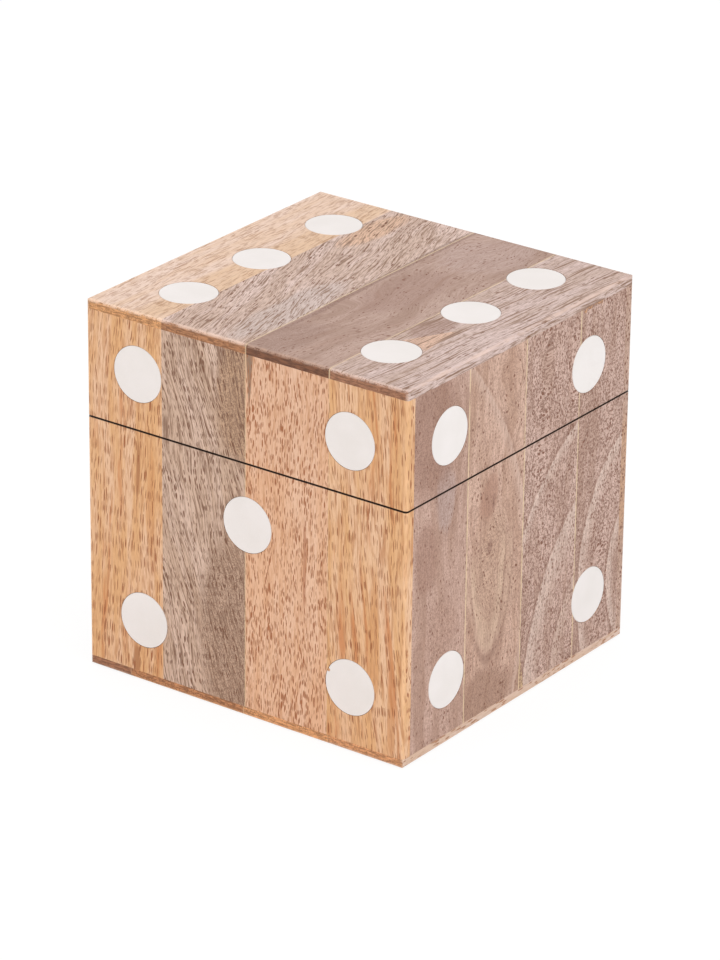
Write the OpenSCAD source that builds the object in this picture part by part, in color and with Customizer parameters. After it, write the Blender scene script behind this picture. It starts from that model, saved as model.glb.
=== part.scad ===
/* [Box] */
// Width along the front, side to side
box_w = 127; // [110:1:150]
// Depth from front to back
box_d = 125; // [110:1:150]
// Height of the closed box
box_h = 129.5; // [115:0.5:150]
// Height of the saw cut that parts the lid from the base
cut_z = 88.8; // [82:0.1:95]
// Width of the saw cut, which the hinges keep open
cut_gap = 0.5; // [0.3:0.1:1]
// Radius of the sanded outer edges and corners
arris_r = 1.1; // [0.8:0.1:1.8]

/* [Carcass boards] */
// Thickness of the wall boards
wall_board_t = 6; // [5:0.5:9]
// Thickness of the floor and top boards
flat_board_t = 6; // [5:0.5:9]

/* [Wood strips] */
// Thickness of the strips glued to the walls
wall_strip_t = 3.8; // [3:0.1:5]
// Thickness of the strips glued over the top
top_strip_t = 3.4; // [3:0.1:5]
// Thickness of the strips glued under the floor
bottom_strip_t = 3.2; // [2.8:0.1:5]
// Width of the leftmost strip on the front, back and top
front_strip_w1 = 30.6; // [27:0.1:34]
// Width of the second strip on the front, back and top
front_strip_w2 = 33.6; // [29:0.1:37]
// Width of the third strip on the front, back and top
front_strip_w3 = 32.7; // [29:0.1:36]
// Width of the foremost strip on the sides
side_strip_w1 = 29.3; // [26:0.1:33]
// Width of the second strip on the sides
side_strip_w2 = 31.3; // [28:0.1:35]
// Width of the third strip on the sides
side_strip_w3 = 30.7; // [27:0.1:34]
// Width of the leftmost strip underneath
bottom_strip_w1 = 17.2; // [14:0.1:20]
// Width of the second strip underneath
bottom_strip_w2 = 46.3; // [40:0.1:50]
// Width of the third strip underneath
bottom_strip_w3 = 34; // [30:0.1:38]

/* [Pips] */
// Diameter of an inlaid disc
pip_d = 19.2; // [16:0.1:21]
// Thickness of an inlaid disc
pip_t = 2; // [1.2:0.1:2.2]
// Clearance round a disc in its pocket, on the radius
pip_fit = 0.1; // [0.05:0.05:0.2]
// From a face's middle line to the outer discs, side to side on the front, back, top and bottom
pip_out_x = 41.5; // [37:0.1:44]
// From a face's middle line to the outer discs, front to back on the sides and top
pip_out_y = 39.5; // [36:0.1:44]
// From the box's middle height to the upper and lower discs
pip_out_z = 42.3; // [40:0.1:45]
// Height of the middle discs above the box's middle height
pip_mid_rise = 2.9; // [0:0.1:4]

/* [Hinges] */
// Length of a hinge along the back edge
hinge_l = 22; // [18:1:30]
// From a side of the box to the middle of its hinge
hinge_inset = 30; // [24:0.5:40]
// Width of a leaf from the box's back face inwards
leaf_w = 8.2; // [7.6:0.1:9]
// Thickness of a leaf
leaf_t = 1; // [0.8:0.1:1.4]
// Outer diameter of the knuckles
knuckle_d = 3.2; // [2.8:0.1:4]
// Diameter of the hinge pin
pin_d = 1.6; // [1.2:0.1:1.8]
// Clearance of the pin in its knuckles, on the radius
pin_fit = 0.04; // [0.02:0.01:0.08]
// Gap between neighbouring knuckles
knuckle_gap = 0.3; // [0.2:0.05:0.5]
// Gap between the knuckles and the box's back face
back_gap = 0.3; // [0.2:0.05:0.6]
// Clearance round a leaf in its mortise
mortise_fit = 0.1; // [0.05:0.05:0.2]
// Height of a pin's domed end beyond the knuckles
pin_head_t = 0.5; // [0.3:0.1:0.8]
// Gap between a pin's domed end and the knuckle beside it
pin_head_gap = 0.05; // [0.02:0.01:0.1]

/* [Screws] */
// Diameter of a screw's shank
screw_d = 2; // [1.6:0.1:2.4]
// Diameter of a screw's countersunk head
screw_head_d = 3.6; // [3:0.1:4]
// Length of a screw below its head's face
screw_l = 9; // [7:0.5:12]
// Distance between the two screws of a leaf
screw_spacing = 13; // [10:0.5:16]
// From the box's back face to the screws
screw_in = 5.2; // [5:0.1:6]
// Clearance round a screw in its hole, on the radius
screw_fit = 0.05; // [0.02:0.01:0.1]

/* [Hidden] */

$fn = 64;
// Extra depth that lets a cutting tool pass a face
eps = 0.5;

// The box's faces, with the origin at the middle of its underside
x_right = box_w / 2;
x_left = -x_right;
y_back = box_d / 2;
y_front = -y_back;
mid_z = box_h / 2;

// The rims on either side of the saw cut
base_rim_z = cut_z - cut_gap / 2;
lid_rim_z = cut_z + cut_gap / 2;

// The carcass inside the strips
carcass_x = x_right - wall_strip_t;
carcass_y = y_back - wall_strip_t;
carcass_bottom = bottom_strip_t;
carcass_top = box_h - top_strip_t;
floor_z = carcass_bottom + flat_board_t;
ceiling_z = carcass_top - flat_board_t;
room_x = carcass_x - wall_board_t;
room_y = carcass_y - wall_board_t;

// Strip joints, from the left side or from the front; sides lie between the front and back strips
front_joints = joints(x_left, [front_strip_w1, front_strip_w2, front_strip_w3], x_right);
bottom_joints = joints(x_left, [bottom_strip_w1, bottom_strip_w2, bottom_strip_w3], x_right);
side_joints = joints(-carcass_y, [side_strip_w1, side_strip_w2, side_strip_w3], carcass_y);

// Where each disc sits, in steps from the face's middle, and how far it was set off its mark
front_pips = [[-1, 1], [1, 1], [0, 0], [-1, -1], [1, -1]];
front_wander = [[-1.2, 1.2], [0, 0.1], [1.5, 0], [0.7, -0.4], [1, 0.1]];
right_pips = [[-1, 1], [1, 1], [-1, -1], [1, -1]];
right_wander = [[-0.4, 0.1], [-1.8, -1.1], [0.1, 0.2], [1.8, 0.2]];
back_pips = [[-1, 1], [1, -1]];
back_wander = [[0.5, -0.4], [-0.6, 0.2]];
left_pips = [[-1, 1], [0, 0], [1, -1]];
left_wander = [[-0.3, 0.3], [0.6, -0.8], [0.4, -0.3]];
top_pips_at = [[-1, 1], [-1, 0], [-1, -1], [1, 1], [1, 0], [1, -1]];
top_wander = [[1.1, -0.4], [1.1, -0.4], [1.1, 0.6], [-0.8, 0.2], [-0.5, 2.6], [-1.2, 0.1]];
bottom_pips_at = [[0, 0]];
bottom_wander = [[0.8, -0.6]];

// Hinge line and leaf places
hinge_y = y_back + back_gap + knuckle_d / 2;
hinge_xs = [x_left + hinge_inset, x_right - hinge_inset];
leaf_in_y = y_back - leaf_w;
leaf_out_y = hinge_y - knuckle_d / 2 - knuckle_gap;
bore_d = pin_d + 2 * pin_fit;
knuckle_l = (hinge_l - 2 * knuckle_gap) / 3;
screw_y = y_back - screw_in;
head_t = leaf_t - 0.1;
slot_w = 0.5;
slot_t = 0.4;

module sapwood() { color([0.88, 0.70, 0.52]) children(); }
module heartwood() { color([0.72, 0.60, 0.52]) children(); }
module board_wood() { color([0.36, 0.26, 0.20]) children(); }
module bone() { color([0.93, 0.90, 0.87]) children(); }
module brass() { color([0.80, 0.66, 0.34]) children(); }

// Joint places along a face: its start, the end of each given strip, and its end
function joints(start, widths, end) = [
    start, start + widths[0], start + widths[0] + widths[1],
    start + widths[0] + widths[1] + widths[2], end
];

// Box between two corners
module block(a, b) {
    translate(a) cube(b - a);
}

// Rectangle about the origin with round corners
module rounded_rect(w, h, r) {
    square([w - 2 * r, h], center = true);
    square([w, h - 2 * r], center = true);
    for (sx = [-1, 1], sy = [-1, 1]) translate([sx * (w / 2 - r), sy * (h / 2 - r)]) circle(r);
}

// The outside of the sanded box: three rounded prisms crossed
module sanded_outside() {
    intersection() {
        linear_extrude(box_h) rounded_rect(box_w, box_d, arris_r);
        translate([0, y_back, mid_z]) rotate([90, 0, 0])
            linear_extrude(box_d) rounded_rect(box_w, box_h, arris_r);
        translate([x_left, 0, mid_z]) rotate([90, 0, 90])
            linear_extrude(box_w) rounded_rect(box_d, box_h, arris_r);
    }
}

// A face's frame: +Z outwards, +X and +Y along the face, its origin in the middle of the face
module on_front() { translate([0, y_front, mid_z]) rotate([90, 0, 0]) children(); }
module on_back() { translate([0, y_back, mid_z]) rotate([90, 0, 180]) children(); }
module on_right() { translate([x_right, 0, mid_z]) rotate([90, 0, 90]) children(); }
module on_left() { translate([x_left, 0, mid_z]) rotate([90, 0, 270]) children(); }
module on_top() { translate([0, 0, box_h]) children(); }
module on_bottom() { rotate([180, 0, 0]) children(); }

// Discs of one face, grown by clear on the radius and outwards, where they are of the wanted half
module discs(marks, wander, out, rise, clear, keep) {
    for (i = [0 : len(marks) - 1]) {
        up = marks[i][1] * out[1] + (marks[i][1] == 0 ? rise : 0) + wander[i][1];
        if (keep == "all" || (keep == "lid") == (up > cut_z - mid_z))
            translate([marks[i][0] * out[0] + wander[i][0], up, -pip_t])
                cylinder(d = pip_d + 2 * clear, h = pip_t + (clear > 0 ? eps : 0));
    }
}

module wall_discs(clear, keep) {
    on_front() discs(front_pips, front_wander, [pip_out_x, pip_out_z], pip_mid_rise, clear, keep);
    on_right() discs(right_pips, right_wander, [pip_out_y, pip_out_z], pip_mid_rise, clear, keep);
    on_back() discs(back_pips, back_wander, [pip_out_x, pip_out_z], pip_mid_rise, clear, keep);
    on_left() discs(left_pips, left_wander, [pip_out_y, pip_out_z], pip_mid_rise, clear, keep);
}

module top_discs(clear) {
    on_top() discs(top_pips_at, top_wander, [pip_out_x, pip_out_y], 0, clear, "all");
}

module bottom_disc(clear) {
    on_bottom() discs(bottom_pips_at, bottom_wander, [pip_out_x, pip_out_y], 0, clear, "all");
}

// Flips a base-side hinge shape to the lid side of the saw cut
module for_lid() {
    translate([0, 0, cut_z]) mirror([0, 0, 1]) translate([0, 0, -cut_z]) children();
}

// Room for both base leaves and the screws' holes, cut in the back strips and back board
module base_hinge_room() {
    for (x = hinge_xs) {
        half = hinge_l / 2 + mortise_fit;
        block([x - half, leaf_in_y - mortise_fit, base_rim_z - leaf_t],
            [x + half, y_back + eps, base_rim_z + eps]);
        for (sx = [-1, 1]) translate([x + sx * screw_spacing / 2, screw_y, base_rim_z - screw_l - eps])
            cylinder(d = screw_d + 2 * screw_fit, h = screw_l + eps);
    }
}

// Strip i of the front or back, from z0 to z1
module front_strip(i, z0, z1) {
    intersection() {
        block([front_joints[i - 1], y_front, z0], [front_joints[i], -carcass_y, z1]);
        sanded_outside();
    }
}

module back_strip(i, z0, z1) {
    intersection() {
        block([front_joints[i - 1], carcass_y, z0], [front_joints[i], y_back, z1]);
        sanded_outside();
    }
}

// Strip i of the right or left side, from z0 to z1
module right_strip(i, z0, z1) {
    block([carcass_x, side_joints[i - 1], z0], [x_right, side_joints[i], z1]);
}

module left_strip(i, z0, z1) {
    block([x_left, side_joints[i - 1], z0], [-carcass_x, side_joints[i], z1]);
}

// One strip of a base wall with its pockets, and its hinge room if it is at the back
module base_wall_strip(wall, i) {
    difference() {
        if (wall == "front") front_strip(i, carcass_bottom, base_rim_z);
        else if (wall == "back") back_strip(i, carcass_bottom, base_rim_z);
        else if (wall == "right") right_strip(i, carcass_bottom, base_rim_z);
        else left_strip(i, carcass_bottom, base_rim_z);
        wall_discs(pip_fit, "base");
        if (wall == "back") base_hinge_room();
    }
}

// One strip of a lid wall, made the same way above the cut
module lid_wall_strip(wall, i) {
    difference() {
        if (wall == "front") front_strip(i, lid_rim_z, carcass_top);
        else if (wall == "back") back_strip(i, lid_rim_z, carcass_top);
        else if (wall == "right") right_strip(i, lid_rim_z, carcass_top);
        else left_strip(i, lid_rim_z, carcass_top);
        wall_discs(pip_fit, "lid");
        if (wall == "back") for_lid() base_hinge_room();
    }
}

module top_strip(i) {
    heartwood() difference() {
        intersection() {
            block([front_joints[i - 1], y_front, carcass_top], [front_joints[i], y_back, box_h]);
            sanded_outside();
        }
        top_discs(pip_fit);
    }
}

module bottom_strip(i) {
    sapwood() difference() {
        intersection() {
            block([bottom_joints[i - 1], y_front, 0], [bottom_joints[i], y_back, carcass_bottom]);
            sanded_outside();
        }
        bottom_disc(pip_fit);
    }
}

// The front and back boards run the full carcass width, and the side boards fit between them
module base_floor_board() {
    board_wood() block([-carcass_x, -carcass_y, carcass_bottom], [carcass_x, carcass_y, floor_z]);
}

module base_front_board() {
    board_wood() block([-carcass_x, -carcass_y, floor_z], [carcass_x, -room_y, base_rim_z]);
}

module base_back_board() {
    board_wood() difference() {
        block([-carcass_x, room_y, floor_z], [carcass_x, carcass_y, base_rim_z]);
        base_hinge_room();
    }
}

module base_left_board() {
    board_wood() block([-carcass_x, -room_y, floor_z], [-room_x, room_y, base_rim_z]);
}

module base_right_board() {
    board_wood() block([room_x, -room_y, floor_z], [carcass_x, room_y, base_rim_z]);
}

module lid_top_board() {
    board_wood() block([-carcass_x, -carcass_y, ceiling_z], [carcass_x, carcass_y, carcass_top]);
}

module lid_front_board() {
    board_wood() block([-carcass_x, -carcass_y, lid_rim_z], [carcass_x, -room_y, ceiling_z]);
}

module lid_back_board() {
    board_wood() difference() {
        block([-carcass_x, room_y, lid_rim_z], [carcass_x, carcass_y, ceiling_z]);
        for_lid() base_hinge_room();
    }
}

module lid_left_board() {
    board_wood() block([-carcass_x, -room_y, lid_rim_z], [-room_x, room_y, ceiling_z]);
}

module lid_right_board() {
    board_wood() block([room_x, -room_y, lid_rim_z], [carcass_x, room_y, ceiling_z]);
}

// Ring of length l about the hinge line, starting at x
module knuckle(x, l) {
    translate([x, hinge_y, cut_z]) rotate([0, 90, 0]) cylinder(d = knuckle_d, h = l);
}

// Leaf plate of the hinge centred at x, and the tabs that carry its knuckles: [start, length] pairs
module leaf(x, knuckles) {
    difference() {
        union() {
            block([x - hinge_l / 2, leaf_in_y, base_rim_z - leaf_t],
                [x + hinge_l / 2, leaf_out_y, base_rim_z]);
            for (k = knuckles) {
                block([x + k[0], leaf_out_y - eps, base_rim_z - leaf_t],
                    [x + k[0] + k[1], hinge_y, base_rim_z]);
                knuckle(x + k[0], k[1]);
            }
        }
        translate([x - hinge_l / 2 - eps, hinge_y, cut_z]) rotate([0, 90, 0])
            cylinder(d = bore_d, h = hinge_l + 2 * eps);
        for (sx = [-1, 1]) translate([x + sx * screw_spacing / 2, screw_y, base_rim_z]) {
            translate([0, 0, -head_t]) cylinder(d1 = screw_d + 2 * screw_fit,
                d2 = screw_head_d + 2 * screw_fit, h = head_t);
            translate([0, 0, -leaf_t - eps]) cylinder(d = screw_d + 2 * screw_fit, h = leaf_t + eps);
        }
    }
}

module hinge_base_leaves() {
    outer = [[-hinge_l / 2, knuckle_l], [hinge_l / 2 - knuckle_l, knuckle_l]];
    brass() for (x = hinge_xs) leaf(x, outer);
}

module hinge_lid_leaves() {
    middle = [[-knuckle_l / 2, knuckle_l]];
    brass() for_lid() for (x = hinge_xs) leaf(x, middle);
}

// Pin through the three knuckles, with a wider end at each side
module hinge_pins() {
    reach = hinge_l / 2 + pin_head_gap;
    brass() for (x = hinge_xs) translate([x, hinge_y, cut_z]) rotate([0, 90, 0]) {
        translate([0, 0, -reach - pin_head_t]) cylinder(d = pin_d, h = 2 * (reach + pin_head_t));
        for (s = [-1, 1]) translate([0, 0, s * (reach + pin_head_t / 2)])
            cylinder(d = (pin_d + knuckle_d) / 2, h = pin_head_t, center = true);
    }
}

// Slotted countersunk screw pointing down, with the face of its head at the origin
module screw() {
    tip_l = screw_d;
    difference() {
        union() {
            translate([0, 0, -head_t]) cylinder(d1 = screw_d, d2 = screw_head_d, h = head_t);
            translate([0, 0, -screw_l + tip_l]) cylinder(d = screw_d, h = screw_l - tip_l);
            translate([0, 0, -screw_l]) cylinder(d1 = 0.3, d2 = screw_d, h = tip_l);
        }
        translate([0, 0, -slot_t / 2 + eps / 2])
            cube([screw_head_d + eps, slot_w, slot_t + eps], center = true);
    }
}

module hinge_base_screws() {
    brass() for (x = hinge_xs, sx = [-1, 1])
        translate([x + sx * screw_spacing / 2, screw_y, base_rim_z]) screw();
}

module hinge_lid_screws() {
    for_lid() hinge_base_screws();
}

module base_pips() { bone() wall_discs(0, "base"); }
module lid_pips() { bone() wall_discs(0, "lid"); }
module top_pips() { bone() top_discs(0); }
module bottom_pip() { bone() bottom_disc(0); }

base_floor_board();
base_front_board();
base_back_board();
base_left_board();
base_right_board();
base_pips();
bottom_pip();
hinge_base_leaves();
hinge_base_screws();
hinge_pins();
lid_top_board();
lid_front_board();
lid_back_board();
lid_left_board();
lid_right_board();
lid_pips();
top_pips();
hinge_lid_leaves();
hinge_lid_screws();
for (i = [1 : 4]) {
    bottom_strip(i);
    top_strip(i);
    for (wall = ["front", "back"]) {
        sapwood() base_wall_strip(wall, i);
        sapwood() lid_wall_strip(wall, i);
    }
    for (wall = ["right", "left"]) {
        heartwood() base_wall_strip(wall, i);
        heartwood() lid_wall_strip(wall, i);
    }
}
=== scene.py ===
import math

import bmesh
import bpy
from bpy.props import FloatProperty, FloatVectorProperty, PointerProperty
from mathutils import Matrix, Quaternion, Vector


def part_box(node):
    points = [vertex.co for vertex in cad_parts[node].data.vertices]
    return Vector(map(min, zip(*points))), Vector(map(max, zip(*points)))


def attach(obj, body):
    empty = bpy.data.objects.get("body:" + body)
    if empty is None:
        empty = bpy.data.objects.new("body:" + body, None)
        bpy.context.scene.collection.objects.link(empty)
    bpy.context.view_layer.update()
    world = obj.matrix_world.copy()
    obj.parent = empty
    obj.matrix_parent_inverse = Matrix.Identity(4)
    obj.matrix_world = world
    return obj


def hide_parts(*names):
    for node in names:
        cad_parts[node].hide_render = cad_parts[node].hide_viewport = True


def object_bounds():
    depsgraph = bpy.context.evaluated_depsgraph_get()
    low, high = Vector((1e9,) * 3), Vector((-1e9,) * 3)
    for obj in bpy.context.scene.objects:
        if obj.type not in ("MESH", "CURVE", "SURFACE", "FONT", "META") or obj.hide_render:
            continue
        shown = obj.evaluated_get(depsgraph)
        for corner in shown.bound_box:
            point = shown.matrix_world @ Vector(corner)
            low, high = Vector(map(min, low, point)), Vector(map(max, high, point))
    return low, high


bl_info = {
    "name": "Dice box",
    "version": (1, 0, 0),
    "blender": (4, 5, 0),
    "location": "View3D > Sidebar > Dice box",
    "description": "Box in the shape of a die, clad in strips of wood, with inlaid pips and a hinged lid",
    "category": "Object",
}

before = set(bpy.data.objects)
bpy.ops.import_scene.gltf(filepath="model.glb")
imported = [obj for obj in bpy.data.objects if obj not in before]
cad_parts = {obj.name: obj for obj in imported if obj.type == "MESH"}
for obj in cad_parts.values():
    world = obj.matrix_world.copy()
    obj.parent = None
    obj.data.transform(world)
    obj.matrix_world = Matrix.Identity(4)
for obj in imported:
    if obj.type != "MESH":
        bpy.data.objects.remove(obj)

MM = 0.001
WALLS = ("front", "right", "back", "left")
# Which of a point's coordinates runs across, along and through the strips of each face
ACROSS_ALONG_THROUGH = {
    "front": (0, 2, 1), "back": (0, 2, 1), "right": (1, 2, 0), "left": (1, 2, 0),
    "top": (0, 1, 2), "bottom": (0, 1, 2),
}

CAD_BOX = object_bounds()
BOX_MIDDLE = (Vector(CAD_BOX[0]) + Vector(CAD_BOX[1])) / 2
# The two corners of the wooden box, without the hinge barrels behind it, in millimetres
LOW_CORNER = Vector(CAD_BOX[0]) / MM
HIGH_CORNER = Vector((CAD_BOX[1][0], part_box("base_back_strip_4")[1].y, CAD_BOX[1][2])) / MM
# Height of the cut between base and lid, in millimetres
CUT_HEIGHT = (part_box("base_front_strip_1")[1].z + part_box("lid_front_strip_1")[0].z) / 2 / MM
# How close two corners of a mesh are that count as one, in metres
SAME_PLACE = 0.000001


def linear(red, green, blue):
    """A colour as seen on a screen, 0 to 255, in the linear values that shaders take."""
    seen = [c / 255 for c in (red, green, blue)]
    return tuple(c / 12.92 if c < 0.04045 else ((c + 0.055) / 1.055) ** 2.4 for c in seen)


def tint(colour, factors):
    """A colour made lighter, darker or warmer by a factor for each of red, green and blue."""
    return tuple(c * f for c, f in zip(colour, factors))


class Value:
    """One number of a material that varies over the surface, with its arithmetic as Python."""

    def __init__(self, recipe, socket):
        self.recipe = recipe
        self.socket = socket

    def math(self, operation, *values):
        return self.recipe.number("ShaderNodeMath", {"operation": operation}, list(values))

    def __add__(self, other):
        return self.math("ADD", self, other)

    def __radd__(self, other):
        return self.math("ADD", other, self)

    def __sub__(self, other):
        return self.math("SUBTRACT", self, other)

    def __rsub__(self, other):
        return self.math("SUBTRACT", other, self)

    def __mul__(self, other):
        return self.math("MULTIPLY", self, other)

    def __rmul__(self, other):
        return self.math("MULTIPLY", other, self)

    def __truediv__(self, other):
        return self.math("DIVIDE", self, other)

    def size(self):
        return self.math("ABSOLUTE", self)

    def smallest(self, other):
        return self.math("MINIMUM", self, other)

    def largest(self, other):
        return self.math("MAXIMUM", self, other)

    def root(self):
        return self.math("SQRT", self)


class Recipe:
    """The nodes of one material, or of the sky."""

    def __init__(self, owner):
        self.owner = owner
        owner.use_nodes = True
        self.nodes = owner.node_tree.nodes
        self.links = owner.node_tree.links
        self.nodes.clear()

    def give(self, socket, value):
        """Links the value to the socket, or sets the socket to it. Colours may have three numbers."""
        if isinstance(value, Value):
            value = value.socket
        if isinstance(value, bpy.types.NodeSocket):
            self.links.new(value, socket)
        elif socket.type == "RGBA" and len(value) == 3:
            socket.default_value = (*value, 1)
        else:
            socket.default_value = value

    def node(self, kind, settings=None, values=None):
        """A node with its settings made first, then the values or links of its sockets."""
        made = self.nodes.new(kind)
        for key, setting in (settings or {}).items():
            setattr(made, key, setting)
        pairs = values.items() if isinstance(values, dict) else enumerate(values or [])
        for key, value in pairs:
            self.give(made.inputs[key], value)
        return made

    def number(self, kind, settings=None, values=None):
        return Value(self, self.node(kind, settings, values).outputs[0])

    def blend(self, amount, first, second):
        """first where amount is 0 and second where it is 1, as colours."""
        mix = self.node("ShaderNodeMix", {"data_type": "RGBA"})
        for name, value in (("Factor_Float", amount), ("A_Color", first), ("B_Color", second)):
            self.give(next(s for s in mix.inputs if s.identifier == name), value)
        return next(s for s in mix.outputs if s.identifier == "Result_Color")

    def point(self):
        """The place on the piece, as three numbers in millimetres."""
        place = self.node("ShaderNodeTexCoord").outputs["Object"]
        parts = self.node("ShaderNodeSeparateXYZ", values=[place])
        return [Value(self, out) * (1 / MM) for out in parts.outputs]

    def vector(self, x, y, z):
        return self.node("ShaderNodeCombineXYZ", values=[x, y, z]).outputs[0]

    def noise(self, place, detail=2.0, roughness=0.5):
        """Soft random values around 0.5."""
        return self.number("ShaderNodeTexNoise", {"noise_dimensions": "3D"},
                           {"Vector": place, "Scale": 1.0, "Detail": detail, "Roughness": roughness})

    def ramp(self, value, low, high):
        """0 at low and 1 at high, smooth between; low may be the larger."""
        return self.number("ShaderNodeMapRange", {"interpolation_type": "SMOOTHSTEP"},
                           {"Value": value, "From Min": low, "From Max": high})

    def finish(self, colour, roughness, height, depth, metallic=0.0):
        """Ends the material in one Principled shader, with the height as bump of this depth in metres."""
        bump = self.node("ShaderNodeBump", values={"Strength": 1.0, "Distance": depth, "Height": height})
        shader = self.node("ShaderNodeBsdfPrincipled", values={
            "Base Color": colour, "Roughness": roughness, "Metallic": metallic,
            "IOR": 1.45, "Normal": bump.outputs[0]})
        self.node("ShaderNodeOutputMaterial", values={"Surface": shader.outputs[0]})
        return self.owner


# The four woods. kind names the colours, tint and bands are factors for red, green and blue, slant is
# in degrees, lengths and the two numbers of each size are in millimetres, the rest goes from 0 to 1.
# patches: (middle across, along), (half width, half length), tone, strength, speckle
# rings: (middle across, along), how much longer than wide, radius, fade inwards, seen up to, tone, strength
# wedges: (tip across, along), (left, right, along) of the wide end, tone, strength
GOLDEN = {
    "kind": "golden", "tint": (1.0, 1.0, 1.0), "bands": (0.95, 0.87, 0.7), "slant": 0.0, "wave": 1.5,
    "pore_size": (0.42, 4.8), "pores": 0.9, "pore_depth": 0.95, "fibres": 0.45,
    "lines": 0.45, "line_size": (0.7, 9.0), "streaks": 0.3, "curl": 0.0, "curl_size": 0.8,
    "glue": (0.0, 0.0), "end": (196, 140, 92), "patches": (), "rings": (), "wedges": (),
}
GREY = {
    **GOLDEN, "kind": "grey", "bands": (0.9, 0.87, 0.82), "pore_size": (0.5, 3.0), "pores": 0.5,
    "fibres": 0.75, "lines": 0.95, "line_size": (0.6, 13.0), "streaks": 0.15,
}
MAUVE = {
    **GOLDEN, "kind": "mauve", "bands": (0.84, 0.8, 0.76), "wave": 4.0, "pore_size": (0.5, 1.4),
    "pores": 0.5, "lines": 0.25, "streaks": 0.25, "curl": 0.45, "glue": (0.8, 0.8),
}
PALE = {
    **GOLDEN, "kind": "pale", "bands": (0.97, 0.93, 0.86), "pore_size": (0.4, 4.5), "pores": 0.8,
    "pore_depth": 0.6, "lines": 0.6, "streaks": 0.1,
}


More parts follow.
